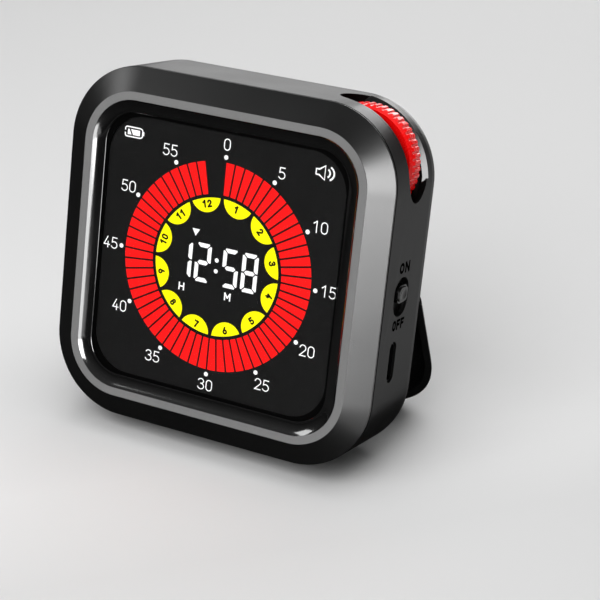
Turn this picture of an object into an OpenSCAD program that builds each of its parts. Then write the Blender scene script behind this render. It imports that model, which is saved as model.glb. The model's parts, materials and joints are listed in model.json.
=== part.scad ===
// Countdown timer with a square face, a corner thumbwheel and a fold-out stand.
// Case frame: X to the right, Y up the face, Z out of the face, z = 0 at the back.
// Every piece is drawn in the case frame, then stood up on the table by on_table().

/* [Case] */
// Side of the square case
case_side = 82; // [78:0.5:88]
// Depth of the case, from the back to the front rim
case_depth = 28; // [28:0.5:31]
// Radius of the case's corners, seen from the front
corner_r = 18; // [16:0.5:19]
// Wall thickness of the side band
wall = 1.8; // [1.4:0.1:2.2]
// Radius of the rounded rear edge
back_edge_r = 6; // [5.4:0.1:6.6]
// Height of the straight edge of the rear cover, in front of its rounding
cover_edge = 0.2; // [0.1:0.1:0.6]
// Wall thickness of the rear cover
cover_wall = 2; // [1.6:0.1:2.2]

/* [Front bezel] */
// Inset of the flat outer chamfer
chamfer_in = 5.4; // [4.4:0.1:6]
// Depth of the flat outer chamfer
chamfer_deep = 3; // [2.4:0.1:3.4]
// Width of the flat front rim
rim_w = 1.9; // [1.4:0.1:2.6]
// Width of the hollow curve inside the rim
cove_w = 3; // [2.4:0.1:3.2]
// Depth of the hollow curve inside the rim
cove_deep = 1.15; // [0.9:0.05:1.3]
// Height of the straight edge between chamfer and groove
bezel_edge = 0.3; // [0.2:0.1:0.5]
// Width of the open groove between bezel and side band
seam_w = 0.5; // [0.3:0.1:0.7]
// Depth of that groove into the wall
seam_in = 0.6; // [0.4:0.1:0.8]
// Length of the bezel's skirt inside the side band
skirt_len = 3.2; // [2:0.1:3.4]
// Thickness of the bezel's skirt
skirt_t = 1.4; // [1:0.1:1.8]

/* [Display] */
// Width of the black gap between the bezel and the lens
moat_w = 0.6; // [0.3:0.05:0.9]
// Depth of the lens's front below the rim
lens_deep = 1.6; // [1.5:0.05:1.8]
// Thickness of the lens
lens_t = 0.5; // [0.4:0.05:0.7]
// How far the bezel covers the edge of the display panel
panel_lip = 1.2; // [0.8:0.1:1.5]
// Thickness of the display panel
panel_t = 1.3; // [1:0.1:1.5]
// Thickness of the light guide
guide_t = 1.2; // [0.8:0.1:1.4]
// Thickness of the display frame's floor
frame_floor = 0.8; // [0.6:0.1:1]

/* [Thumbwheel] */
// Distance of the wheel's axis in from the top and from the right side
wheel_in = 13.4; // [13.2:0.1:13.8]
// Distance of the wheel's middle behind the front rim
wheel_deep = 14.45; // [14.3:0.05:14.6]
// Outer radius of the wheel
wheel_r = 12.6; // [12.2:0.1:12.8]
// Width of the wheel
wheel_w = 4.6; // [4:0.1:4.8]
// Width of the smooth sloping shoulder in front of the ribs
wheel_shoulder = 1.4; // [0.8:0.1:1.8]
// Number of ribs round the rim
wheel_ribs = 52; // [36:1:54]
// Radius of the groove between two ribs
rib_cut_r = 0.45; // [0.35:0.05:0.55]
// Thickness of the wheel's rim
wheel_rim_t = 2.6; // [2:0.1:3.4]
// Radius of the wheel's hub
wheel_hub_r = 3.4; // [3:0.1:4]
// Radius of the wheel's axle
axle_r = 1.5; // [1.2:0.1:1.8]
// Open space of the corner slot on each side of the wheel
slot_side = 2.35; // [2:0.05:2.5]
// Half the length of the slot, across the corner's diagonal
slot_half = 14.6; // [14.2:0.1:14.8]

/* [Power switch] */
// Height of the well's middle above the face's centre
well_y = -0.3; // [-1:0.1:1]
// Distance of the well's middle behind the front rim
well_back = 12.2; // [12:0.1:12.5]
// Travel of the knob from ON down to OFF
knob_travel = 1.5; // [1.2:0.1:2]
// Length of the knob along its travel
knob_len = 4; // [3.4:0.1:4.2]
// Width of the knob
knob_w = 4.8; // [4.2:0.1:5]
// How far the knob stands out of the side
knob_proud = 0.6; // [0.3:0.1:0.8]
// Space in the well above and below the knob's travel
well_end_gap = 1.75; // [1.5:0.05:2]
// Space in the well beside the knob
well_side_gap = 1.3; // [1.1:0.1:1.5]
// Depth of the well
well_deep = 1.4; // [1.2:0.1:1.6]

/* [USB port] */
// Height of the port's middle above the face's centre
usb_y = -15.15; // [-16:0.05:-14.5]
// Distance of the port's middle behind the front rim
usb_back = 11.3; // [11.1:0.1:11.5]
// Length of the socket's shell across
usb_len = 8.94; // [8.9:0.01:9]
// Thickness of the socket's shell
usb_thick = 3.2; // [3.1:0.01:3.3]
// Depth of the socket
usb_deep = 7.3; // [6.5:0.1:8]
// Play at the two round ends of the socket in its cut-out
usb_play = 0.28; // [0.1:0.01:0.4]
// How far the socket's mouth lies inside the case's side
usb_inset = 0.4; // [0.2:0.1:0.8]

/* [Stand] */
// Angle of the open stand from the back
open_angle = 32.5; // [29:0.5:36]
// Height of the hinge axis above the face's centre
hinge_y = -1.7; // [-3:0.1:-1]
// Radius of the stand's barrel
barrel_r = 2; // [1.8:0.05:2.1]
// Half the length of the barrel
barrel_half = 20; // [16:0.5:24]
// Depth of the stand's rim behind the end of the rear rounding
stand_rim_in = 1.7; // [1.6:0.05:2]
// Wall thickness of the stand
stand_wall = 1.6; // [1.2:0.1:1.9]
// Radius of the hinge pin
pin_r = 1; // [0.8:0.05:1.1]
// Length of the pin inside each of the cover's knuckles
pin_in = 9; // [5:0.5:12]

/* [Boards and parts inside] */
// Thickness of the main board
board_t = 1.6; // [1.2:0.1:1.6]
// Gap round the main board
board_gap = 2.2; // [1.8:0.1:2.6]
// Length of the battery cell
cell_len = 44; // [38:0.5:46]
// Thickness of the battery cell
cell_t = 5.8; // [5:0.1:5.9]
// Thickness of the sticky pad below the cell
pad_t = 0.35; // [0.2:0.05:0.4]
// Radius of the speaker
speaker_r = 10; // [8:0.5:11]
// Thickness of the speaker
speaker_t = 4; // [3.5:0.1:4.5]
// Radius of the screws' shafts
screw_r = 1; // [0.9:0.05:1.1]
// Radius of the screws' heads
head_r = 1.9; // [1.7:0.05:2]
// Height of the screws' heads
head_h = 1.3; // [1.1:0.1:1.4]
// Radius of the wires with their insulation
wire_r = 0.5; // [0.4:0.05:0.6]

/* [Clearances] */
// Gap between fixed pieces that slip into each other
fit_gap = 0.15; // [0.1:0.01:0.2]
// Radial play of a turning shaft in its hole
run_gap = 0.05; // [0.03:0.01:0.08]
// Play of a seated screw or pin, and between pieces that lie on each other
seat_gap = 0.02; // [0.01:0.01:0.04]
// Gap between pieces that move past each other
move_gap = 0.3; // [0.25:0.01:0.35]

/* [Hidden] */
$fn = 96;
over = 1;                                   // how far a cut runs past a face
half = case_side / 2;
inner_half = half - wall;
inner_r = corner_r - wall;

// Heights of the front stack, from the back
rim_z = case_depth;
chamfer_z = rim_z - chamfer_deep;
bezel_z = chamfer_z - bezel_edge;           // rear face of the bezel
band_z = bezel_z - seam_w;                  // front edge of the side band
skirt_z = bezel_z - skirt_len;
lens_z = rim_z - lens_deep - lens_t;        // rear face of the lens
panel_z = lens_z - seat_gap - panel_t;      // rear face of the panel
guide_z = panel_z - seat_gap - guide_t;
frame_z = guide_z - seat_gap - frame_floor;

// Half sides of the front stack
rim_half = half - chamfer_in;
opening_half = rim_half - rim_w - cove_w;
opening_r = corner_r - (half - opening_half);
lens_half = opening_half - moat_w;
lens_r = opening_r + 1.4;                   // the lens is a little rounder than its opening
gasket_drop = 0.1;                          // depth of the gasket's front below the lens's front
panel_half = opening_half + panel_lip;
panel_r = 1.2;
guide_half = panel_half - 1.4;
window_half = guide_half - 6.5;             // window in the display frame's floor
pocket_half = panel_half + 2 * fit_gap;
pocket_r = panel_r + 2 * fit_gap;
skirt_half = inner_half - fit_gap - skirt_t;
frame_half = skirt_half - 1.05;
small = 0.8;                                // size of the display screws beside the other screws
frame_screw_x = (pocket_half + frame_half) / 2;
frame_screw_y = 20;
frame_screws = [for (x = [-1, 1], y = [-1, 1]) [x * frame_screw_x, y * frame_screw_y]];
frame_screw_tip = bezel_z + 1.8;
cove_r = (pow(cove_w, 2) + pow(cove_deep, 2)) / (2 * cove_deep);
hollow_out = 3.6;                           // the bezel is hollow between these two insets
hollow_in = 6.6;

// Flexible cable from the panel's lower edge round to the board
flex_w = 20;
flex_t = 0.2;
flex_overlap = 0.9;
flex_y = -panel_half - 1.6;
flex_foot = 5;

// Main board and the posts that carry it
usb_z = rim_z - usb_back;
board_z = usb_z + usb_thick / 2;            // rear face of the board
board_front = board_z + board_t;
board_half = inner_half - board_gap;
board_screw_tip = board_front - 3.8;
wheel_at = half - wheel_in;
wheel_z = rim_z - wheel_deep;
post_r = 2.8;
boss_r = 3.4;
post_web = 1.6;
web_in = 0.6;                               // how far the web starts inside its post
far_post = inner_half - 8.2;                // posts in the three plain corners
side_post = inner_half - 5.7;               // posts on both sides of the thumbwheel
wheel_clear = 1.3;                          // from those posts to the wheel
near_post = wheel_at - sqrt(pow(wheel_r + post_r + wheel_clear, 2) - pow(side_post - wheel_at, 2));
lower_posts = [[-far_post, -far_post], [far_post, -far_post]];
upper_posts = [[-far_post, far_post]];
wheel_posts = [[near_post, side_post], [side_post, near_post]];
plain_posts = concat(lower_posts, upper_posts);
all_posts = concat(plain_posts, wheel_posts);
corner_reach = inner_r - (far_post - half + corner_r) * sqrt(2) + 0.3;
side_reach = inner_half - side_post + 0.2;

// Wheel, encoder and bracket
wheel_back = wheel_z - wheel_w / 2;
wheel_front = wheel_z + wheel_w / 2;
wheel_edge = 0.5;                           // chamfer at the back of the rim
shoulder_drop = 0.8;                        // how far the shoulder slopes in
wheel_disc_t = 1.6;
bearing_top = wheel_back - move_gap;
bearing_r = 3.6;
bracket_t = 1.7;
bracket_w = 4.8;
bracket_z = bearing_top - 2.35;
axle_z = bracket_z + 0.4;
encoder_z = wheel_front + 0.2;
encoder_side = 11.6;
encoder_roof = 0.3;

// Power switch
knob_y = well_y + knob_travel / 2;
knob_z = rim_z - well_back;
knob_r = 1.4;
knob_step = 0.4;                            // the knob's edge is stepped back by this much
cap_x = half - well_deep + fit_gap;
stem_len = 1.6;
stem_w = 1.8;
stem_play = 0.2;
backing_t = 1.6;                            // extra wall behind the well
backing_x = inner_half - backing_t;
backing_len = 14;
backing_w = 9.8;
switch_x = backing_x - 4.4;
switch_len = 9.2;
switch_deep = 4.6;
switch_wall = 0.6;

// Rear cover, stand and hinge
rear_seam = back_edge_r + cover_edge;
stand_deep = back_edge_r - stand_rim_in;    // height of the stand's rim above the back
stand_floor = stand_deep + move_gap;        // rear face of the cover in front of the stand
ledge = stand_floor + cover_wall;
lip_t = 1.4;
lip_top = rear_seam + 1.8;
hinge_z = barrel_r;
knuckle_y = hinge_y - barrel_r;             // lower edge of the cover's knuckles
stand_top = knuckle_y - move_gap;           // upper edge of the stand beside the barrel
beam_top = hinge_y + 4.6;                   // top of the cover's thick beam round the hinge
pin_half = barrel_half + pin_in;
stop_r = 3;                                 // tab on the barrel that stops the open stand
stop_half = 3;
stop_from = 8;
stop_to = 28;
stop_play = 0.6;
rib_x = 13;                                 // distance between the stand's ribs
rib_t = 1.2;
rib_drop = 0.4;
post_foot = stand_floor + 3;                // lower end of the plain posts
boss_foot = cover_wall / 2;
low_seat = stand_floor + head_h;
high_seat = 1.8 + head_h;                   // the upper screw heads lie 1.8 mm deep
cover_screw_tip = bracket_z + 6.3;

// Speaker, chips and battery
speaker_at = [-far_post + boss_r + speaker_r + 0.6, -far_post + speaker_r];
speaker_z = ledge + seat_gap;
speaker_wall = 1.2;
ring_t = 1.2;
ring_h = 2.5;
chip_t = 1;
chip_side = 7;                              // side of the controller chip
small_chip = 4;                             // side of the charge chip
leg_t = 0.3;
cell_bottom = beam_top + 0.3;
cell_top = side_post - boss_r - 0.9;
cell_mid = [-far_post + boss_r + 1.5 + cell_len / 2, (cell_bottom + cell_top) / 2];
cell_z = cover_wall + pad_t + 2 * seat_gap;
plug_at = [-far_post + 2 * boss_r + 0.2, far_post + boss_r - 0.4];
plug_h = 3.4;

// Lean of the case, from the rear edge and the stand's foot both touching the table
edge_y = -(half - back_edge_r);
foot_y = edge_y - sqrt(pow(back_edge_r, 2) - pow(stand_rim_in, 2));
foot = swing([foot_y, stand_deep]);
foot_down = edge_y - foot[0];
foot_back = back_edge_r - foot[1];
lean = atan2(foot_back, foot_down) - acos(back_edge_r / norm([foot_back, foot_down]));
lift = -edge_y * cos(lean) - back_edge_r * sin(lean) + back_edge_r;
front_reach = rim_half * sin(lean) + rim_z * cos(lean);
stand_edge = swing([edge_y, back_edge_r]);
back_reach = stand_edge[0] * sin(lean) - stand_edge[1] * cos(lean) + back_edge_r;

// A point (y, z) of the folded stand, swung open about the hinge
function swing(p) = [
    hinge_y + (p[0] - hinge_y) * cos(open_angle) - (p[1] - hinge_z) * sin(open_angle),
    hinge_z + (p[0] - hinge_y) * sin(open_angle) + (p[1] - hinge_z) * cos(open_angle)];

// Leans the case back on its rear edge, with the origin under the middle of its box
module on_table() {
    translate([-knob_proud / 2, (front_reach - back_reach) / 2, lift])
        rotate([90 - lean, 0, 0]) children();
}

// Square with round corners
module round_square(h, r) {
    square([2 * h, 2 * (h - r)], center = true);
    square([2 * (h - r), 2 * h], center = true);
    for (x = [-1, 1], y = [-1, 1]) translate([x * (h - r), y * (h - r)]) circle(r);
}

module slab(h, r, z0, z1) {
    translate([0, 0, z0]) linear_extrude(z1 - z0) round_square(h, r);
}

// Sweeps a profile (x out from the corner's centre, y as height) round a square
module round_sweep(h, r) {
    for (k = [0:3]) rotate([0, 0, 90 * k]) {
        translate([h - r, h - r, 0]) rotate_extrude(angle = 90) children();
        translate([h - r, 0, 0]) rotate([90, 0, 0]) linear_extrude(2 * (h - r), center = true) children();
    }
}

// Slab with its rear edge rounded
module back_form(h, r, edge, z0, z1) {
    slab(h - edge, r - edge, z0, z1);
    round_sweep(h, r) translate([r - edge, z0]) {
        intersection() {
            translate([0, edge]) circle(edge);
            square(edge);
        }
        translate([0, edge]) square([edge, z1 - z0 - edge]);
    }
}

// Box that reaches from a low corner to a high corner
module block(low, high) {
    translate(low) cube(high - low);
}

module rod(r, z0, z1) {
    translate([0, 0, z0]) cylinder(r = r, h = z1 - z0);
}

module at_each(points) {
    for (p = points) translate([p[0], p[1], 0]) children();
}

module at_wheel() {
    translate([wheel_at, wheel_at, 0]) children();
}

// Turns Z along X, at the hinge's axis, with the angle 0 up the back
module at_hinge() {
    translate([0, hinge_y, hinge_z]) rotate([90, 0, 90]) children();
}

// Screw with a crossed head, the head's seat at z = 0 and the shaft towards +Z
module screw(len, size = 1) {
    slot = [2.4 * size, 0.5 * size, 1.2 * size];
    rod(screw_r * size, 0, len);
    difference() {
        rod(head_r * size, -head_h * size, 0);
        for (a = [0, 90]) translate([0, 0, -head_h * size]) rotate([0, 0, a]) cube(slot, center = true);
    }
}

// Flat pill along Y, across the side wall, from x0 to x1
module side_pill(len, wide, y, z, x0, x1) {
    translate([x0, y, z]) rotate([90, 0, 90]) linear_extrude(x1 - x0) {
        square([len - wide, wide], center = true);
        for (s = [-1, 1]) translate([s * (len - wide) / 2, 0]) circle(wide / 2);
    }
}

module bezel_profile() {
    difference() {
        polygon([[corner_r, bezel_z], [corner_r, chamfer_z], [corner_r - chamfer_in, rim_z],
            [opening_r, rim_z], [opening_r, bezel_z]]);
        translate([opening_r, rim_z - cove_deep + cove_r]) circle(cove_r, $fn = 360);
        polygon([[corner_r - hollow_out, bezel_z - over], [corner_r - hollow_out, bezel_z + 0.7],
            [corner_r - hollow_in, bezel_z + 1.8], [corner_r - hollow_in, bezel_z - over]]);
    }
    translate([inner_r - fit_gap - skirt_t, skirt_z]) square([skirt_t, skirt_len + 0.8]);
}

module front_bezel() {
    color([0.16, 0.16, 0.17]) difference() {
        union() {
            round_sweep(half, corner_r) bezel_profile();
            at_each(frame_screws) rod(2, bezel_z, frame_screw_tip + 0.4);
        }
        slab(pocket_half, pocket_r, bezel_z - over, lens_z + seat_gap);
        at_each(frame_screws) rod(screw_r * small + seat_gap, bezel_z - over, frame_screw_tip + 0.2);
    }
}

module lens_gasket() {
    color([0.02, 0.02, 0.02]) difference() {
        slab(opening_half - seat_gap, opening_r - seat_gap, lens_z + seat_gap, lens_z + lens_t - gasket_drop);
        slab(lens_half + seat_gap, lens_r + seat_gap, lens_z - over, rim_z);
    }
}

module display_lens() {
    color([0.1, 0.1, 0.1, 0.4]) slab(lens_half, lens_r, lens_z, lens_z + lens_t);
}

module display_panel() {
    color([0.11, 0.11, 0.11]) slab(panel_half, panel_r, panel_z, panel_z + panel_t);
}

module light_guide() {
    color([0.9, 0.92, 0.95]) slab(guide_half, panel_r, guide_z, guide_z + guide_t);
}

module display_frame() {
    color([0.85, 0.85, 0.82]) difference() {
        slab(frame_half, corner_r - (half - frame_half), frame_z, bezel_z - seat_gap);
        slab(pocket_half, pocket_r, panel_z - seat_gap, rim_z);
        slab(guide_half + fit_gap, panel_r + fit_gap, frame_z + frame_floor, rim_z);
        slab(window_half, 6, frame_z - over, rim_z);
        at_each(frame_screws) {
            rod(screw_r * small + fit_gap, frame_z - over, rim_z);
            rod(head_r * small + fit_gap, frame_z - over, frame_z + head_h * small);
        }
        // Way out for the flexible cable
        block([-flex_w / 2 - over, -frame_half - over, frame_z - over],
            [flex_w / 2 + over, -guide_half - fit_gap, rim_z]);
    }
}

module display_screws() {
    seat = frame_z + head_h * small;
    color([0.7, 0.7, 0.72]) at_each(frame_screws)
        translate([0, 0, seat]) screw(frame_screw_tip - seat, small);
}

module display_flex() {
    foot_z = board_front + seat_gap;
    color([0.75, 0.45, 0.1]) {
        block([-flex_w / 2, flex_y, panel_z - flex_t], [flex_w / 2, -panel_half + flex_overlap, panel_z]);
        block([-flex_w / 2, flex_y - flex_t, foot_z], [flex_w / 2, flex_y, panel_z]);
        block([-flex_w / 2, flex_y, foot_z], [flex_w / 2, flex_y + flex_foot, foot_z + flex_t]);
    }
}

// Slot across the corner's diagonal, cut straight in
module wheel_slot() {
    at_wheel() rotate([0, 0, 45])
        side_pill(2 * slot_half, wheel_w + 2 * slot_side, 0, wheel_z, -2, case_side);
}

// Screw post with a web to the wall beside it
module post(p, foot, web_z, reach, turn) {
    translate([p[0], p[1], 0]) {
        rod(post_r, foot, board_z);
        rotate([0, 0, turn]) block([post_r - web_in, -post_web / 2, web_z], [reach, post_web / 2, board_z]);
    }
}

module band_profile() {
    translate([corner_r - wall, rear_seam]) square([wall, band_z - rear_seam]);
    translate([corner_r - wall, rear_seam]) square([wall - seam_in, bezel_z - seat_gap - rear_seam]);
}

// Way through the wall for the knob's stem, with the given play
module stem_way(x0, x1, play) {
    block([x0, knob_y - knob_travel - stem_len / 2 - play, knob_z - stem_w / 2 - play],
        [x1, knob_y + stem_len / 2 + play, knob_z + stem_w / 2 + play]);
}

module mid_housing() {
    clamp_z = bracket_z + bracket_t;
    color([0.2, 0.2, 0.21]) difference() {
        union() {
            round_sweep(half, corner_r) band_profile();
            for (p = plain_posts) post(p, post_foot, lip_top + 0.2, corner_reach, atan2(p[1], p[0]));
            for (p = wheel_posts) post(p, clamp_z, clamp_z, side_reach, p[0] > p[1] ? 0 : 90);
            block([backing_x, well_y - backing_len / 2, knob_z - backing_w / 2],
                [inner_half + 0.2, well_y + backing_len / 2, knob_z + backing_w / 2]);
        }
        wheel_slot();
        side_pill(knob_len + knob_travel + 2 * well_end_gap, knob_w + 2 * well_side_gap, well_y, knob_z,
            half - well_deep, half + over);
        stem_way(backing_x - over, half, stem_play);
        side_pill(usb_len + 2 * usb_play, usb_thick + fit_gap, usb_y, usb_z, inner_half - over, half + over);
        at_each(all_posts) rod(screw_r + seat_gap, post_foot - over, board_z + over);
    }
}

module main_board() {
    color([0.05, 0.3, 0.15]) difference() {
        slab(board_half, inner_r - board_gap, board_z, board_front);
        at_each(all_posts) rod(screw_r + fit_gap, board_z - over, board_front + over);
    }
}

module board_screws() {
    color([0.7, 0.7, 0.72]) at_each(all_posts)
        translate([0, 0, board_front]) mirror([0, 0, 1]) screw(board_front - board_screw_tip);
}

// Chip on the board's rear face, with legs on its four sides
module chip(x, y, side, legs) {
    translate([x, y, board_z - chip_t]) {
        translate([-side / 2, -side / 2, 0]) cube([side, side, chip_t - 0.1]);
        for (k = [0:legs - 1], a = [0, 90, 180, 270]) rotate([0, 0, a])
            translate([side / 2 - 0.1, (k - (legs - 1) / 2) * side / legs * 0.9 - leg_t / 2, chip_t - leg_t])
                cube([0.7, leg_t, leg_t]);
    }
}

module controller_chip() {
    color([0.1, 0.1, 0.1]) chip(-6, -2, chip_side, 8);
}

module charge_chip() {
    color([0.1, 0.1, 0.1]) chip(far_post - chip_side, -far_post + chip_side, small_chip, 4);
}

module board_parts() {
    near_chip = [[4, -8], [8, -8], [-14, -8], [-14, 4], [2, 4]];
    near_usb = [for (p = [[-2, 1], [-1, 2]]) [far_post + p[0] * chip_side, p[1] * chip_side - far_post]];
    color([0.7, 0.6, 0.4]) for (p = concat(near_chip, near_usb))
        block([p[0], p[1], board_z - 0.9], [p[0] + 1.6, p[1] + 0.9, board_z]);
}

module usb_socket() {
    mouth = half - usb_inset;
    color([0.7, 0.7, 0.72]) difference() {
        side_pill(usb_len, usb_thick - seat_gap, usb_y, usb_z, mouth - usb_deep, mouth);
        side_pill(usb_len - 0.6, usb_thick - 0.6, usb_y, usb_z, mouth - usb_deep + 0.4, mouth + over);
    }
}

module usb_tongue() {
    back = half - usb_inset - usb_deep + 0.4;
    color([0.08, 0.08, 0.08]) {
        block([back, usb_y - 3.3, usb_z - 0.35], [half - usb_inset - 0.9, usb_y + 3.3, usb_z + 0.35]);
        block([back, usb_y - 3.6, usb_z - 1], [back + 1.2, usb_y + 3.6, usb_z + 1]);
    }
}

module switch_body() {
    color([0.6, 0.6, 0.62]) difference() {
        block([switch_x, well_y - switch_len / 2, board_z - switch_deep],
            [backing_x - fit_gap, well_y + switch_len / 2, board_z - seat_gap]);
        stem_way(switch_x + switch_wall, backing_x, move_gap);
    }
}

// Outline of the knob's cap, drawn in by a step
module cap_outline(step) {
    r = knob_r - step;
    x = knob_len / 2 - knob_r;
    y = knob_w / 2 - knob_r;
    for (i = [-1, 1], j = [-1, 1]) translate([i * x, j * y]) circle(r);
    square([2 * (x + r), 2 * y], center = true);
    square([2 * x, 2 * (y + r)], center = true);
}

module switch_knob() {
    color([0.03, 0.03, 0.03]) {
        translate([cap_x, knob_y, knob_z]) rotate([90, 0, 90]) {
            linear_extrude(half + knob_proud - knob_step - cap_x) cap_outline(0);
            linear_extrude(half + knob_proud - cap_x) cap_outline(knob_step);
        }
        block([switch_x + switch_wall + move_gap, knob_y - stem_len / 2, knob_z - stem_w / 2],
            [cap_x + 0.5, knob_y + stem_len / 2, knob_z + stem_w / 2]);
    }
}

module encoder_body() {
    color([0.25, 0.25, 0.27]) at_wheel() difference() {
        translate([0, 0, encoder_z]) linear_extrude(board_z - seat_gap - encoder_z)
            rotate(45) square(encoder_side, center = true);
        rod(axle_r + run_gap, encoder_z - over, board_z - encoder_roof);
    }
}

module wheel_axle() {
    color([0.75, 0.75, 0.77]) at_wheel() rod(axle_r, axle_z, board_z - encoder_roof - 0.2);
}

module thumbwheel() {
    rim_in = wheel_r - wheel_rim_t;
    color([0.95, 0.02, 0.02]) at_wheel() translate([0, 0, wheel_back]) difference() {
        rotate_extrude($fn = 192) {
            polygon([[rim_in, 0], [wheel_r - wheel_edge, 0], [wheel_r, wheel_edge],
                [wheel_r, wheel_w - wheel_shoulder], [wheel_r - shoulder_drop, wheel_w], [rim_in, wheel_w]]);
            translate([axle_r + seat_gap, 0]) square([wheel_hub_r - axle_r - seat_gap, wheel_w]);
            translate([wheel_hub_r - 0.2, (wheel_w - wheel_disc_t) / 2])
                square([rim_in - wheel_hub_r + 0.4, wheel_disc_t]);
        }
        for (k = [0:wheel_ribs - 1]) rotate([0, 0, 360 * (k + 0.5) / wheel_ribs])
            translate([wheel_r + 0.05, 0, -over]) cylinder(r = rib_cut_r, h = wheel_w + 2 * over, $fn = 32);
    }
}

module bracket_arm(p) {
    reach = [wheel_at - p[0], wheel_at - p[1]];
    translate(p) rotate(atan2(reach[1], reach[0]))
        translate([0, -bracket_w / 2]) square([norm(reach), bracket_w]);
    translate(p) circle(boss_r);
}

module wheel_bracket() {
    color([0.3, 0.3, 0.32]) difference() {
        union() {
            translate([0, 0, bracket_z]) linear_extrude(bracket_t - seat_gap)
                for (p = wheel_posts) bracket_arm(p);
            at_wheel() rod(bearing_r, bracket_z, bearing_top);
        }
        at_wheel() rod(axle_r + run_gap, axle_z - 0.1, bearing_top + over);
        at_each(wheel_posts) rod(screw_r + fit_gap, bracket_z - over, bracket_z + bracket_t + over);
    }
}

module speaker_frame() {
    color([0.3, 0.3, 0.3]) translate([speaker_at[0], speaker_at[1], speaker_z]) difference() {
        rod(speaker_r, 0, speaker_t);
        rod(speaker_r - speaker_wall, -over, 1.6);
        rod(3, 1, 2.4);
    }
}

module speaker_cone() {
    edge = speaker_r - speaker_wall - seat_gap;
    color([0.15, 0.15, 0.15]) translate([speaker_at[0], speaker_at[1], speaker_z + 0.4])
        rotate_extrude() polygon([[0, 0.55], [edge * 0.35, 0.3], [edge * 0.75, 0], [edge, 0.5],
            [edge, 1.1], [edge * 0.75, 0.6], [edge * 0.35, 0.9], [0, 1.05]]);
}

// Insulated wire: straight stretches with round joints
module wire(points) {
    for (k = [0:len(points) - 2]) {
        d = points[k + 1] - points[k];
        translate(points[k]) rotate([0, acos(d[2] / norm(d)), atan2(d[1], d[0])])
            cylinder(r = wire_r, h = norm(d), $fn = 24);
    }
    for (k = [1:len(points) - 2]) translate(points[k]) sphere(wire_r, $fn = 24);
}

module speaker_leads() {
    start = speaker_at + speaker_r * [0.4, 0.3];
    stop = speaker_at + speaker_r * [0.7, 0.7];
    bend_z = board_z - 3;
    color([0.1, 0.1, 0.1]) for (s = [0, 1]) translate([1.5 * s, 0, 0])
        wire([[start[0], start[1], speaker_z + speaker_t + seat_gap], [start[0], start[1], bend_z],
            [stop[0], stop[1], bend_z], [stop[0], stop[1], board_z - seat_gap]]);
}

module battery_cell() {
    color([0.75, 0.77, 0.8]) translate([cell_mid[0], cell_mid[1], cell_z]) linear_extrude(cell_t)
        square([cell_len, cell_top - cell_bottom], center = true);
}

module battery_pad() {
    color([0.1, 0.1, 0.1]) translate([cell_mid[0], cell_mid[1], cover_wall + seat_gap]) linear_extrude(pad_t)
        square([cell_len - 6, cell_top - cell_bottom - 6], center = true);
}

module battery_plug() {
    color([0.92, 0.9, 0.84]) block([plug_at[0] - 3, plug_at[1] - 2, board_z - plug_h],
        [plug_at[0] + 3, plug_at[1] + 2, board_z - seat_gap]);
}

module battery_leads() {
    lead_z = cell_z + cell_t / 2;
    for (s = [-1, 1]) color(s > 0 ? [0.8, 0.05, 0.05] : [0.05, 0.05, 0.05])
        translate([plug_at[0] + 1.2 * s, 0, 0])
            wire([[0, cell_top + seat_gap, lead_z], [0, plug_at[1], lead_z],
                [0, plug_at[1], board_z - plug_h - seat_gap]]);
}

// Ways for the cover screws, through the cover and its bosses
module screw_ways(points, seat) {
    at_each(points) {
        rod(screw_r + fit_gap, -over, rim_z);
        rod(head_r + fit_gap, -over, seat);
    }
}

// The space of the folded stand, with its barrel, grown by a gap
module stand_space(grow) {
    difference() {
        block([-half - over, -half - over, -over], [half + over, hinge_y, stand_deep + grow]);
        for (s = [0, 1]) mirror([s, 0, 0])
            block([barrel_half + grow, stand_top + grow, -2 * over],
                [half + 2 * over, half, stand_deep + grow + over]);
    }
    at_hinge() rod(barrel_r + grow, -barrel_half - grow, barrel_half + grow);
}

// What is taken off the cover's knuckles, so that the stand's upper edge turns past them
module knuckle_round() {
    for (s = [0, 1]) mirror([s, 0, 0]) difference() {
        block([barrel_half + move_gap, knuckle_y - over, -over], [half + over, hinge_y, hinge_z]);
        at_hinge() rod(barrel_r + seat_gap, barrel_half, half + 2 * over);
    }
}

// Ring sector round the hinge, from one angle to another
module hinge_sector(r0, r1, from, to, side) {
    at_hinge() rotate([0, 0, from]) rotate_extrude(angle = to - from)
        translate([r0, -side]) square([r1 - r0, 2 * side]);
}

module cover_shell() {
    difference() {
        back_form(half, corner_r, back_edge_r, 0, rear_seam);
        back_form(half - cover_wall, corner_r - cover_wall, back_edge_r - cover_wall,
            cover_wall, rear_seam + over);
    }
    intersection() {
        back_form(half, corner_r, back_edge_r, 0, rear_seam);
        union() {
            block([-half, -half, stand_floor], [half, hinge_y, rear_seam]);
            block([-half, knuckle_y, 0], [half, beam_top, rear_seam]);
        }
    }
    // The floor in front of the stand is thicker than the seam is high
    intersection() {
        slab(inner_half - fit_gap - over, inner_r - fit_gap - over, stand_floor + over, ledge);
        block([-half, -half, 0], [half, beam_top, rim_z]);
    }
    round_sweep(half, corner_r) translate([inner_r - fit_gap - lip_t, rear_seam - 0.4])
        square([lip_t, lip_top - rear_seam + 0.4]);
}

module speaker_slots() {
    for (k = [-3:3]) translate([speaker_at[0] + 2.2 * k, speaker_at[1], 0])
        block([-0.6, abs(k) - 7, 0], [0.6, 7 - abs(k), ledge + over]);
}

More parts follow.
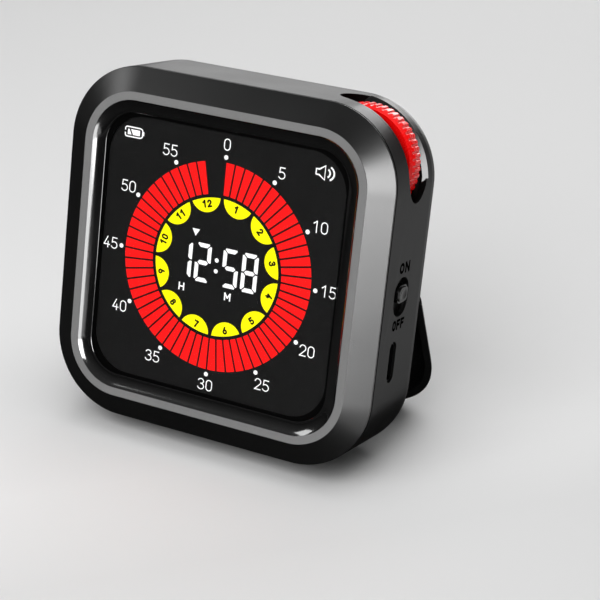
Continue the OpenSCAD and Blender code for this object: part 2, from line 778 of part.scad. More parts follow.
module rear_cover() {
    color([0.13, 0.13, 0.14]) difference() {
        union() {
            cover_shell();
            at_each(lower_posts) rod(boss_r, stand_floor, post_foot - seat_gap);
            at_each(upper_posts) rod(boss_r, boss_foot, post_foot - seat_gap);
            at_each(wheel_posts) rod(boss_r, boss_foot, bracket_z - seat_gap);
            at_each([speaker_at]) difference() {
                rod(speaker_r + fit_gap + ring_t, stand_floor + over, ledge + ring_h);
                rod(speaker_r + fit_gap, ledge, ledge + ring_h + over);
            }
        }
        stand_space(move_gap);
        knuckle_round();
        hinge_sector(barrel_r, stop_r + move_gap, stop_from - 6, stop_to + open_angle + stop_play,
            stop_half + move_gap);
        screw_ways(lower_posts, low_seat);
        screw_ways(concat(upper_posts, wheel_posts), high_seat);
        // The hinge pin slides in from the left
        at_hinge() rod(pin_r + seat_gap, -half - over, pin_half + seat_gap);
        speaker_slots();
    }
}

module cover_screws() {
    color([0.7, 0.7, 0.72]) {
        at_each(lower_posts) translate([0, 0, low_seat]) screw(cover_screw_tip - low_seat);
        at_each(concat(upper_posts, wheel_posts)) translate([0, 0, high_seat])
            screw(cover_screw_tip - high_seat);
    }
}

module folded_stand() {
    intersection() {
        back_form(half, corner_r, back_edge_r, 0, rim_z);
        stand_space(0);
    }
    hinge_sector(barrel_r - 0.5, stop_r, stop_from, stop_to, stop_half);
}

module stand_hollow() {
    difference() {
        intersection() {
            back_form(half - stand_wall, corner_r - stand_wall, back_edge_r - stand_wall, stand_wall, rim_z);
            block([-half, -half, 0], [half, stand_top - stand_wall, rim_z]);
        }
        for (k = [-2:2])
            block([k * rib_x - rib_t / 2, -half, 0], [k * rib_x + rib_t / 2, 0, stand_deep - rib_drop]);
    }
}

module kickstand() {
    color([0.04, 0.04, 0.04]) translate([0, hinge_y, hinge_z]) rotate([open_angle, 0, 0])
        translate([0, -hinge_y, -hinge_z]) difference() {
            folded_stand();
            stand_hollow();
            at_hinge() rod(pin_r + run_gap, -half - over, half + over);
        }
}

module stand_pin() {
    color([0.75, 0.75, 0.77]) at_hinge() rod(pin_r, -pin_half, pin_half);
}

on_table() front_bezel();
on_table() lens_gasket();
on_table() display_lens();
on_table() display_panel();
on_table() light_guide();
on_table() display_frame();
on_table() display_screws();
on_table() display_flex();
on_table() mid_housing();
on_table() main_board();
on_table() board_screws();
on_table() controller_chip();
on_table() charge_chip();
on_table() board_parts();
on_table() usb_socket();
on_table() usb_tongue();
on_table() switch_body();
on_table() switch_knob();
on_table() encoder_body();
on_table() wheel_axle();
on_table() thumbwheel();
on_table() wheel_bracket();
on_table() speaker_frame();
on_table() speaker_cone();
on_table() speaker_leads();
on_table() battery_cell();
on_table() battery_pad();
on_table() battery_plug();
on_table() battery_leads();
on_table() rear_cover();
on_table() cover_screws();
on_table() kickstand();
on_table() stand_pin();
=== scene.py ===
import json
import math
import bpy
import bmesh
from mathutils import Matrix, Vector

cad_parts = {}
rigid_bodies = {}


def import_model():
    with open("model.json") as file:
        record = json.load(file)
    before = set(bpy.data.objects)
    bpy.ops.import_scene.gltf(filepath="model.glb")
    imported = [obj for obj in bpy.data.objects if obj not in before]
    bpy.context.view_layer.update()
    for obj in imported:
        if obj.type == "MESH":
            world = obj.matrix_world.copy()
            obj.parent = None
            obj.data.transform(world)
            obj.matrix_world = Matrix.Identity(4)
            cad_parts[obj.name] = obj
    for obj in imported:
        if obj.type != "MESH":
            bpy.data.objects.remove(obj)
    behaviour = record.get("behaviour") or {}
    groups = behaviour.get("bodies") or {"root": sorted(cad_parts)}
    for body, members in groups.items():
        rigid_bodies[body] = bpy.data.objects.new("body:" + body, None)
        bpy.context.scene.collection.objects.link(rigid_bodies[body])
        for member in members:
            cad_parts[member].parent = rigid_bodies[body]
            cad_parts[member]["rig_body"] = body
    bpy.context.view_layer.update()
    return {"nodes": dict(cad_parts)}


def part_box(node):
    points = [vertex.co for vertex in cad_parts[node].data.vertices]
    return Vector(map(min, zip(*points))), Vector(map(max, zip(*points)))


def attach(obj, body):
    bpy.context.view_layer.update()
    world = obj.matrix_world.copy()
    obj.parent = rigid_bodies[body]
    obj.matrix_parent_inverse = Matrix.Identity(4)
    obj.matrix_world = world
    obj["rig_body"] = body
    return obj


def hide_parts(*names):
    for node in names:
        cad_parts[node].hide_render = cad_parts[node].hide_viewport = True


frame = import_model()
nodes = frame["nodes"]

# The case is modelled lying on its back, in millimetres: X right, Y up the face, Z out of the face.
# STANDING leans it on its stand, in metres.
LEAN = math.radians(12.9097)
SIN, COS = math.sin(LEAN), math.cos(LEAN)
STANDING = Matrix(((0.001, 0, 0, -0.0003),
                   (0, 0.001 * SIN, -0.001 * COS, 0.0120892),
                   (0, 0.001 * COS, 0.001 * SIN, 0.0387748),
                   (0, 0, 0, 1)))

HALF = 41.0            # half the side of the case
CORNER = 18.0          # corner radius seen from the front
CORNER_STEPS = 24      # faces round each corner
BEZEL_BACK = 24.7      # the parting line between bezel and side band
RIM = 28.0             # the front of the case
MOAT_FLOOR = 25.91     # where the bezel's inner wall ends, just in front of the display panel
SLOT_REAR = 8.90       # rear wall of the wheel's slot
DIAL = (0.0, -0.42)    # middle of the minute ring on the face
PRINT_Z = 25.884       # back of the ink on the display
INK = 0.008            # thickness of the ink on the display
SIDE_INK = 0.03        # thickness of the ink on the side band


# ---------------------------------------------------------------- modelling

def fresh():
    """Object mode with nothing selected."""
    if bpy.context.mode != "OBJECT":
        bpy.ops.object.mode_set(mode="OBJECT")
    bpy.ops.object.select_all(action="DESELECT")


def only(ob):
    """Object mode with one object selected and active."""
    fresh()
    ob.select_set(True)
    bpy.context.view_layer.objects.active = ob


def edit():
    """Edit mode of the active object, with all of it selected."""
    bpy.ops.object.mode_set(mode="EDIT")
    bpy.ops.mesh.select_mode(type="VERT")
    bpy.ops.mesh.select_all(action="SELECT")


def outwards(ob):
    """Turns the faces of a closed solid outwards and leaves edit mode."""
    bpy.ops.mesh.select_all(action="SELECT")
    bpy.ops.mesh.normals_make_consistent(inside=False)
    if bmesh.from_edit_mesh(ob.data).calc_volume(signed=True) < 0:
        bpy.ops.mesh.flip_normals()
    bpy.ops.object.mode_set(mode="OBJECT")


def named(ob, name):
    """The object, with one name for itself and its mesh."""
    ob.name = ob.data.name = name
    return ob


def apply(ob, modifier):
    """Makes a modifier's result the object's own mesh."""
    only(ob)
    bpy.ops.object.modifier_apply(modifier=modifier.name)


def settle(ob):
    """Puts the object's own place into its mesh."""
    only(ob)
    bpy.ops.object.transform_apply(location=True, rotation=True, scale=True)
    return ob


def moved(ob, x, y, z=0.0):
    """The piece with its mesh moved by x, y, z."""
    ob.location = (x, y, z)
    return settle(ob)


def leaned(ob):
    """Puts a piece that was modelled lying down in its place on the standing case."""
    ob.matrix_world = STANDING @ ob.matrix_world
    return settle(ob)


def twin(ob, turn=0.0, move=(0, 0, 0)):
    """A copy with its own mesh, turned about Z and then moved."""
    new = ob.copy()
    new.data = ob.data.copy()
    bpy.context.scene.collection.objects.link(new)
    new.matrix_world = Matrix.Translation(move) @ Matrix.Rotation(math.radians(turn), 4, "Z")
    return settle(new)


def joined(name, parts):
    """One object of all the parts."""
    only(parts[0])
    for p in parts:
        p.select_set(True)
    bpy.ops.object.join()
    return named(bpy.context.object, name)


def carve(ob, tool, operation="DIFFERENCE", materials="INDEX"):
    """Cuts a closed tool out of a piece, or keeps only what lies inside it, and removes the tool."""
    cut = ob.modifiers.new("carve", "BOOLEAN")
    cut.operation, cut.solver, cut.object = operation, "EXACT", tool
    cut.material_mode = materials
    apply(ob, cut)
    bpy.data.objects.remove(tool)


def stand_up(ob, *materials, smooth=30):
    """Finishes a piece of the case: onto the standing case, smooth shading, materials and its body."""
    leaned(ob)
    bpy.ops.object.shade_smooth_by_angle(angle=math.radians(smooth))
    while len(ob.data.materials) < len(materials):
        ob.data.materials.append(None)
    for k, m in enumerate(materials):
        ob.data.materials[k] = m
    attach(ob, "case")
    return ob


def finer_copy(node, name, width=0.0, cutter=None):
    """A copy of a CAD node that takes its place, with small radii on its edges or a piece cut away."""
    ob = bpy.data.objects.new(name, nodes[node].data.copy())
    bpy.context.scene.collection.objects.link(ob)
    only(ob)
    edit()
    bpy.ops.mesh.remove_doubles(threshold=1e-6)
    bpy.ops.mesh.dissolve_limited(angle_limit=math.radians(0.5))
    bpy.ops.object.mode_set(mode="OBJECT")
    if cutter:
        carve(ob, cutter, materials="TRANSFER")
    if width:
        soft = ob.modifiers.new("eased_edges", "BEVEL")
        soft.width, soft.segments, soft.limit_method = width, 2, "ANGLE"
        soft.angle_limit, soft.use_clamp_overlap = math.radians(38), True
        apply(ob, soft)
    bpy.ops.object.shade_smooth_by_angle(angle=math.radians(50 if width else 25))
    flat = ob.modifiers.new("flat_faces_stay_flat", "WEIGHTED_NORMAL")
    flat.keep_sharp, flat.weight = True, 90
    apply(ob, flat)
    named(ob, name)
    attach(ob, nodes[node]["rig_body"])
    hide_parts(node)


def round_plate(half, r, z):
    """Flat square plate with round corners, left in edit mode."""
    fresh()
    bpy.ops.mesh.primitive_plane_add(size=2 * half, location=(0, 0, z))
    ob = settle(bpy.context.object)
    edit()
    bpy.ops.mesh.bevel(offset=r, segments=CORNER_STEPS, affect="VERTICES", profile=0.5)
    return ob


def raised(height):
    """Extrudes all of the open edit mode's mesh along Z and closes the solid."""
    bpy.ops.mesh.select_all(action="SELECT")
    bpy.ops.mesh.extrude_region_move(TRANSFORM_OT_translate={"value": (0, 0, height)})
    outwards(bpy.context.object)


def cut_plate(name, points, height=INK):
    """Thin plate with straight edges: a square sheet trimmed along each edge (points run anticlockwise)."""
    cx = sum(p[0] for p in points) / len(points)
    cy = sum(p[1] for p in points) / len(points)
    size = 2.2 * max(math.hypot(p[0] - cx, p[1] - cy) for p in points)
    fresh()
    bpy.ops.mesh.primitive_plane_add(size=size, location=(cx, cy, PRINT_Z))
    ob = settle(bpy.context.object)
    edit()
    for a, b in zip(points, points[1:] + points[:1]):
        bpy.ops.mesh.select_all(action="SELECT")
        outward = Vector((b[1] - a[1], a[0] - b[0], 0)).normalized()
        bpy.ops.mesh.bisect(plane_co=(a[0], a[1], PRINT_Z), plane_no=outward, clear_outer=True,
                            use_fill=False)
    raised(height)
    ob.name = name
    return ob


def disc(radius, corners, x, y, z=PRINT_Z + INK / 2, height=INK):
    """Round plate whose middle is at x, y, z."""
    fresh()
    bpy.ops.mesh.primitive_cylinder_add(vertices=corners, radius=radius, depth=height, location=(x, y, z))
    return settle(bpy.context.object)


def line(name, strokes, width, z=PRINT_Z, height=INK):
    """Ink lines of one width along each stroke's points; a stroke is (points, closed)."""
    curve = bpy.data.curves.new(name, "CURVE")
    curve.dimensions = "3D"
    curve.twist_mode = "Z_UP"
    curve.fill_mode = "FULL"
    curve.bevel_depth = width / 2
    curve.bevel_resolution = 1
    curve.use_fill_caps = True
    for points, closed in strokes:
        s = curve.splines.new("POLY")
        s.points.add(len(points) - 1)
        for p, q in zip(s.points, points):
            p.co = (q[0], q[1], 0, 1)
        s.use_cyclic_u = closed
    ob = bpy.data.objects.new(name, curve)
    bpy.context.scene.collection.objects.link(ob)
    only(ob)
    bpy.ops.object.convert(target="MESH")
    ob = bpy.context.object
    ob.scale = (1, 1, height / width)
    moved(ob, 0, 0, z + height / 2)
    edit()
    bpy.ops.mesh.remove_doubles(threshold=0.0004)
    outwards(ob)
    return ob


def arc(cx, cy, rx, ry, start, stop, steps=12):
    """Points along an ellipse, in degrees anticlockwise from the right."""
    turn = [math.radians(start + (stop - start) * k / steps) for k in range(steps + 1)]
    return [(cx + rx * math.cos(t), cy + ry * math.sin(t)) for t in turn]


# ---------------------------------------------------------------- shader maths

def socket(sockets, key):
    """A node's socket by its name, with _ for a space, or by its number, such as i0."""
    if key[0] == "i" and key[1:].isdigit():
        return sockets[int(key[1:])]
    return sockets[key.replace("_", " ")]


class Wire:
    """A socket of a node tree, with the operators that its shader needs."""

    def __init__(self, tree, source):
        self.tree, self.source = tree, source

    def node(self, kind, settings=(), out=0, **inputs):
        """Adds a node: its settings first, then the values or links of its sockets by name or number."""
        n = self.tree.nodes.new("ShaderNode" + kind)
        for key, value in dict(settings).items():
            setattr(n, key, value)
        for key, value in inputs.items():
            if isinstance(value, Wire):
                self.tree.links.new(value.source, socket(n.inputs, key))
            else:
                socket(n.inputs, key).default_value = value
        return Wire(self.tree, n.outputs[out])

    def maths(self, operation, a, b):
        return self.node("Math", {"operation": operation}, i0=a, i1=b)

    def __add__(self, other):
        return self.maths("ADD", self, other)

    def __mul__(self, other):
        return self.maths("MULTIPLY", self, other)

    def __sub__(self, other):
        return self.maths("SUBTRACT", self, other)

    def __rsub__(self, other):
        return self.maths("SUBTRACT", other, self)

    __radd__, __rmul__ = __add__, __mul__

    def axis(self, number):
        """One coordinate of a vector: 0 is X, 1 is Y and 2 is Z."""
        return self.node("SeparateXYZ", out=number, Vector=self)

    def band(self, low, high):
        """0 below low, 1 above high, straight in between."""
        return self.node("MapRange", {"clamp": True}, Value=self, From_Min=low, From_Max=high,
                         To_Min=0.0, To_Max=1.0)

    def spots(self):
        """A noise, spread over the whole way from 0 to 1."""
        return self.band(0.3, 0.7)


def mix(mask, a, b):
    """Colour a where the mask is 0, colour b where it is 1."""
    ends = {"i6": a if isinstance(a, Wire) else (*a, 1), "i7": b if isinstance(b, Wire) else (*b, 1)}
    return mask.node("Mix", {"data_type": "RGBA"}, out=2, i0=mask, **ends)


class Finish:
    """A Principled material whose constants are set once and whose varying sockets are wired."""

    def __init__(self, name, **constants):
        self.material = bpy.data.materials.new(name)
        self.material.use_nodes = True
        self.tree = self.material.node_tree
        self.shader = self.tree.nodes["Principled BSDF"]
        for key, value in constants.items():
            socket(self.shader.inputs, key).default_value = value
        self.place = Wire(self.tree, None).node("TexCoord", out=3)

    def set(self, **wires):
        """Wires the shader's sockets that vary over the surface."""
        for key, wire in wires.items():
            self.tree.links.new(wire.source, socket(self.shader.inputs, key))

    def noise(self, size_mm, detail=3.0, rough=0.55, stretch=(1, 1, 1)):
        """Noise whose patches are about size_mm wide."""
        where = self.place.node("Mapping", Vector=self.place, Scale=stretch)
        return self.place.node("TexNoise", Vector=where, Scale=1000 / size_mm, Detail=detail,
                               Roughness=rough)

    def relief(self, height, depth_mm):
        """A bump of the given depth in millimetres."""
        self.set(Normal=self.place.node("Bump", Height=height, Distance=depth_mm * 0.001, Strength=1.0))


def grey(level):
    """Linear grey of an 8-bit screen level."""
    v = level / 255
    v = v / 12.92 if v <= 0.04045 else ((v + 0.055) / 1.055) ** 2.4
    return (v, v, v)


def tone(r, g, b):
    """Linear colour of 8-bit screen levels."""
    return tuple(grey(c)[0] for c in (r, g, b))


def speckled(name, dark, light, rough, grain_mm=0.12, depth_mm=0.01, spread=0.06, **constants):
    """Moulded or painted surface: fine grain in relief, with slight drifts of colour and gloss."""
    f = Finish(name, **constants)
    grain = f.noise(grain_mm, 2.0, 0.6)
    drift = f.noise(14.0, 2.0, 0.5)
    f.set(Base_Color=mix(grain.band(0.35, 0.65) * 0.6 + drift.spots() * 0.4, dark, light),
          Roughness=rough + (grain - 0.5) * spread + (drift - 0.5) * spread)
    f.relief(grain, depth_mm)
    return f.material


def metal(name, colour, rough):
    """Bright metal with fine turned lines and a little dulling."""
    f = Finish(name, Metallic=1.0)
    lines = f.noise(0.15, 2.0, 0.5, stretch=(1, 1, 6))
    dull = f.noise(3.0)
    pale = tuple(min(1, c * 1.15) for c in colour)
    f.set(Base_Color=mix(dull.spots(), colour, pale),
          Roughness=rough + (lines - 0.5) * 0.12 + (dull - 0.5) * 0.1)
    f.relief(lines, 0.004)
    return f.material


def ink(name, colour, glow=0.0):
    """Printed or lit area of the display, with the faint unevenness of ink."""
    f = Finish(name, Roughness=0.6, Specular_IOR_Level=0.1)
    dim = tuple(0.93 * c for c in colour)
    paint = mix(f.noise(2.5, 2.0).spots(), dim, colour)
    f.set(Base_Color=paint)
    if glow:
        f.set(Emission_Color=paint)
        f.shader.inputs["Emission Strength"].default_value = glow
    return f.material


# ---------------------------------------------------------------- finishes

# Name, darkest and lightest tone, roughness, grain size and depth in mm, and how far the roughness drifts.
BEZEL_PAINT = speckled("graphite_bezel_paint", grey(8), grey(15), 0.30, 0.16, 0.006, 0.08, IOR=1.7)
RIM_SATIN = speckled("grey_rim_satin", grey(122), grey(134), 0.45, 0.12, 0.005, 0.06,
                     Specular_IOR_Level=0.2)
COVE_GLOSS = speckled("black_cove_gloss", grey(2), grey(5), 0.12, 3.0, 0.0005, 0.02, Coat_Weight=0.8,
                      Coat_Roughness=0.08, IOR=2.2)
BAND_PAINT = speckled("graphite_band_paint", grey(13), grey(18), 0.30, 0.16, 0.006, 0.08,
                      Specular_IOR_Level=0.09)
COVER_PLASTIC = speckled("black_cover_plastic", grey(12), grey(18), 0.46, 0.30, 0.014, 0.10,
                         Specular_IOR_Level=0.3)
STAND_PLASTIC = speckled("black_stand_plastic", grey(5), grey(10), 0.44, 0.30, 0.014, 0.10,
                         Specular_IOR_Level=0.25)
KNOB_GLOSS = speckled("black_knob_gloss", grey(3), grey(6), 0.22, 0.6, 0.002, 0.06, IOR=1.35)
WHEEL_RED = speckled("red_wheel_plastic", tone(250, 0, 0), tone(255, 4, 4), 0.26, 0.5, 0.004, 0.08,
                     Specular_IOR_Level=0.4)
DISPLAY_BLACK = speckled("display_charcoal", grey(27), grey(30), 0.7, 0.5, 0.001, 0.04,
                         Specular_IOR_Level=0.05)
GASKET_RUBBER = speckled("black_gasket_rubber", grey(1), grey(3), 0.8, 0.2, 0.01, 0.08,
                         Specular_IOR_Level=0.03)
INNER_BLACK = speckled("inner_black_plastic", grey(16), grey(26), 0.45, 0.3, 0.015, 0.1)
INNER_WHITE = speckled("inner_white_plastic", grey(205), grey(222), 0.45, 0.3, 0.012, 0.08)
WIRE_BLACK = speckled("black_wire_skin", grey(10), grey(20), 0.4, 0.5, 0.004, 0.06)
PAD_FOAM = speckled("grey_foam_tape", grey(30), grey(48), 0.85, 0.25, 0.05, 0.06)
CHIP_EPOXY = speckled("chip_epoxy", grey(18), grey(28), 0.5, 0.2, 0.01, 0.08)
CONE_PAPER = speckled("speaker_cone_paper", grey(22), grey(38), 0.7, 0.35, 0.03, 0.06)
CAPACITOR_TAN = speckled("tan_capacitors", tone(150, 120, 80), tone(182, 150, 104), 0.4)
LETTER_PRINT = speckled("black_pad_print", grey(0), grey(2), 0.8, 0.3, 0.002, Specular_IOR_Level=0)

STEEL = metal("bright_steel", (0.52, 0.52, 0.53), 0.24)
SCREW_STEEL = metal("dark_screw_steel", (0.20, 0.20, 0.21), 0.34)
SHELL_STEEL = metal("blackened_shell_steel", (0.015, 0.015, 0.016), 0.30)
SWITCH_TIN = metal("switch_case_tin", (0.46, 0.46, 0.48), 0.32)
CELL_FOIL = metal("cell_pouch_foil", (0.55, 0.56, 0.58), 0.30)

RED = ink("lit_red", tone(255, 20, 20), 0.45)
YELLOW = ink("lit_yellow", tone(255, 250, 0), 0.5)
WHITE = ink("lit_white", tone(250, 250, 250), 0.55)
RING_GROUND = ink("dark_red_ground", tone(92, 8, 8))
NUMBER_BLACK = ink("number_black", tone(10, 10, 8))


def board_green():
    """Solder mask with a faint pattern of tracks under it."""
    f = Finish("green_solder_mask", Coat_Weight=0.4)
    tracks = f.place.node("TexBrick", out=1, Vector=f.place, Scale=220.0, Mortar_Size=0.03)
    drift = f.noise(6.0)
    f.set(Base_Color=mix(tracks.band(0.4, 0.6) * 0.5 + drift.spots() * 0.3, tone(14, 74, 42),
                         tone(34, 112, 66)),
          Roughness=0.32 + (drift - 0.5) * 0.1)
    f.relief(tracks, 0.03)
    return f.material


def ribbon_amber():
    """Flexible cable: amber film with copper tracks side by side."""
    f = Finish("amber_ribbon_film")
    tracks = f.place.node("TexWave", {"wave_type": "BANDS", "bands_direction": "X"}, out=1,
                          Vector=f.place, Scale=400.0)
    f.set(Base_Color=mix(tracks.band(0.4, 0.6), tone(196, 128, 36), tone(150, 84, 22)),
          Roughness=0.35 + (f.noise(1.5) - 0.5) * 0.1)
    f.relief(tracks, 0.02)
    return f.material


def wire_pair(between):
    """Red skin on the lead right of a place and black on the one left of it."""
    f = Finish("red_and_black_wire_skin")
    grain = f.noise(0.5)
    split = f.place.axis(0).band(between - 0.0002, between + 0.0002)
    f.set(Base_Color=mix(split, tone(14, 14, 14), tone(190, 16, 16)),
          Roughness=0.4 + (grain - 0.5) * 0.08)
    f.relief(grain, 0.004)
    return f.material


def display_pane():
    """Anti-glare pane: almost clear, with a faint haze."""
    f = Finish("anti_glare_pane", Base_Color=(0.01, 0.01, 0.01, 1), Specular_IOR_Level=0.2)
    haze = f.noise(9.0)
    f.set(Alpha=0.05 + haze.spots() * 0.02, Roughness=0.22 + (haze - 0.5) * 0.05)
    return f.material


def guide_acrylic():
    """Clear-white light guide with a field of tiny dots."""
    f = Finish("light_guide_acrylic")
    dots = f.place.node("TexVoronoi", Vector=f.place, Scale=1600.0)
    f.set(Base_Color=mix(dots.band(0.2, 0.4), tone(252, 252, 252), tone(222, 228, 236)),
          Roughness=0.2 + dots * 0.1)
    f.relief(dots, 0.01)
    return f.material


plug_low, plug_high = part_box("battery_plug")
CAD_FINISH = {
    "front_bezel": BEZEL_PAINT, "lens_gasket": GASKET_RUBBER, "display_lens": display_pane(),
    "display_panel": DISPLAY_BLACK, "light_guide": guide_acrylic(), "display_frame": INNER_WHITE,
    "display_screws": STEEL, "display_flex": ribbon_amber(), "mid_housing": BAND_PAINT,
    "main_board": board_green(), "board_screws": STEEL, "controller_chip": CHIP_EPOXY,
    "charge_chip": CHIP_EPOXY, "board_parts": CAPACITOR_TAN, "usb_socket": SHELL_STEEL,
    "usb_tongue": STAND_PLASTIC, "switch_body": SWITCH_TIN, "switch_knob": KNOB_GLOSS,
    "encoder_body": INNER_BLACK, "wheel_axle": STEEL, "thumbwheel": WHEEL_RED,
    "wheel_bracket": INNER_BLACK, "speaker_frame": INNER_BLACK, "speaker_cone": CONE_PAPER,
    "speaker_leads": WIRE_BLACK, "battery_cell": CELL_FOIL, "battery_pad": PAD_FOAM,
    "battery_plug": INNER_WHITE, "battery_leads": wire_pair((plug_low.x + plug_high.x) / 2),
    "rear_cover": COVER_PLASTIC, "cover_screws": SCREW_STEEL, "kickstand": STAND_PLASTIC,
    "stand_pin": STEEL,
}
for node, material in CAD_FINISH.items():
    nodes[node].data.materials.clear()
    nodes[node].data.materials.append(material)


# ---------------------------------------------------------------- front bezel

def eased(before, corner, after, size, hold=0.05, steps=3):
    """Profile points that ease a corner, with a flat strip of width hold kept on both sides of it."""
    before, corner, after = Vector(before), Vector(corner), Vector(after)
    back, on = (before - corner).normalized(), (after - corner).normalized()
    a, b = corner + back * size, corner + on * size
    shares = [k / steps for k in range(steps + 1)]
    curve = [a.lerp(corner, t).lerp(corner.lerp(b, t), t) for t in shares]
    return [a + back * hold] * (hold > 0) + curve + [b + on * hold] * (hold > 0)


def ring_sheet(profile):
    """A round-cornered sheet drawn inwards from the bezel's rear edge along (inset, height) points."""
    ob = round_plate(HALF, CORNER, BEZEL_BACK)
    bpy.ops.mesh.select_all(action="SELECT")
    for a, b in zip(profile, profile[1:]):
        bpy.ops.mesh.inset(thickness=b[0] - a[0], depth=b[1] - a[1], use_even_offset=True,
                           use_boundary=True)
    bpy.ops.mesh.delete(type="FACE")
    bpy.ops.object.mode_set(mode="OBJECT")
    return ob


def inner_side(c, inset):
    """True where a point lies further in than the given inset of the case's outline."""
    h, r = HALF - inset, CORNER - inset
    x, y = abs(c.x), abs(c.y)
    if x < h - r or y < h - r:
        return max(x, y) < h
    return math.hypot(x - h + r, y - h + r) < r


def bezel():
    """The front ring: rear edge, wide flat chamfer, flat rim, hollow cove and the wall of the gap round
    the lens. Its profile runs inwards, as (inset, height) points."""
    chamfer_z, rim_in, cove_in, opening_in, cove_deep, cove_steps = 25.0, 5.4, 7.3, 10.3, 1.15, 14
    cove_w = opening_in - cove_in
    radius = (cove_w ** 2 + cove_deep ** 2) / (2 * cove_deep)
    reach = math.asin(cove_w / radius)
    angles = [reach * (1 - k / cove_steps) for k in range(1, cove_steps + 1)]
    cove = [(opening_in - radius * math.sin(a), RIM - cove_deep + radius * (1 - math.cos(a)))
            for a in angles]

    side, shoulder, lip, mouth = (0, BEZEL_BACK), (0, chamfer_z), (rim_in, RIM), (cove_in, RIM)
    foot = (opening_in, MOAT_FLOOR)
    front = [side] + eased(side, shoulder, lip, 0.16, 0.04) + eased(shoulder, lip, mouth, 0.12)
    front += eased(lip, mouth, cove[0], 0.07, 0.03, 2) + cove[1:-1]
    front += eased(cove[-2], cove[-1], foot, 0.16, 0.0) + [foot]
    back = [side, (1.6, BEZEL_BACK), (4.6, 26.6), (8.4, 26.7), (9.0, MOAT_FLOOR), foot]
    ob = joined("bezel_ring", [ring_sheet(front), ring_sheet(back)])
    edit()
    bpy.ops.mesh.remove_doubles(threshold=0.004)
    outwards(ob)

    paint, satin, gloss, rubber = range(4)
    cove_foot = 26.72                   # the cove lies above this height, the gap and the back below it
    for p in ob.data.polygons:
        up, height = p.normal.z, p.center.z
        on_rim = up > 0.97 and height > RIM - 0.05
        seen = up > -0.1 and height > cove_foot
        if on_rim:
            p.material_index = satin
        elif not inner_side(p.center, cove_in - 0.01):
            p.material_index = paint
        elif not seen:
            p.material_index = rubber
        elif inner_side(p.center, cove_in + 0.15):
            p.material_index = gloss
    return ob


ring = stand_up(bezel(), BEZEL_PAINT, RIM_SATIN, COVE_GLOSS, GASKET_RUBBER, smooth=32)
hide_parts("front_bezel")


# ---------------------------------------------------------------- side band, back, stand and knob

def slot_slope():
    """Wedge that slopes the rear wall of the wheel's slot back towards the outside of the band."""
    reach, drop = 1.0, 0.6              # over the last reach before the outside, the wall falls by drop
    low, high = SLOT_REAR - 1.5 * drop, SLOT_REAR + 0.5 * drop
    wide, narrow = HALF + 0.5 * reach, HALF - 1.5 * reach
    core = round_plate(wide, CORNER + 0.5 * reach, low)
    raised(high - low)
    edit()
    bpy.ops.mesh.select_all(action="DESELECT")
    bm = bmesh.from_edit_mesh(core.data)
    for v in bm.verts:
        v.select_set(v.co.z > high - 0.001)
    bmesh.update_edit_mesh(core.data)
    bpy.ops.transform.resize(value=(narrow / wide, narrow / wide, 1), center_override=(0, 0, 0))

    slot_turn = math.radians(45)        # the slot lies across the top right corner
    width, length, from_middle, inset = 10, 22.2, 49, 0.1
    out = from_middle * math.sin(slot_turn)
    fresh()
    bpy.ops.mesh.primitive_cube_add(size=1, location=(out, out, (low + high) / 2 - inset / 2),
                                    rotation=(0, 0, slot_turn), scale=(width, length, high - low - inset))
    wedge = settle(bpy.context.object)
    carve(wedge, core)
    wedge.data.materials.clear()
    wedge.data.materials.append(BEZEL_PAINT)
    return leaned(wedge)


def thumb_dish():
    """Ball, a little stretched front to back, that hollows the top of the switch knob."""
    proud, deep, ball, up, front = 0.6, 0.25, 3.4, 0.45, 15.8
    fresh()
    bpy.ops.mesh.primitive_uv_sphere_add(segments=96, ring_count=48, radius=ball, scale=(1, 1, 1.3),
                                         location=(HALF + proud - deep + ball, up, front))
    dish = settle(bpy.context.object)
    dish.data.materials.append(KNOB_GLOSS)
    return leaned(dish)


finer_copy("mid_housing", "sloped_mid_housing", cutter=slot_slope())
finer_copy("rear_cover", "eased_rear_cover", 0.00015)
finer_copy("kickstand", "eased_kickstand", 0.0002)
finer_copy("switch_knob", "dished_switch_knob", 0.0002, thumb_dish())


# ---------------------------------------------------------------- numbers and letters

def stroke_of(*points):
    """An open stroke through a few points."""
    return list(points), False


def oval(k):
    """A closed stroke round the whole box, with half circles of height k at its top and bottom."""
    return arc(0.5, 1 - k, 0.5, k, 0, 180) + arc(0.5, k, 0.5, k, 180, 360), True


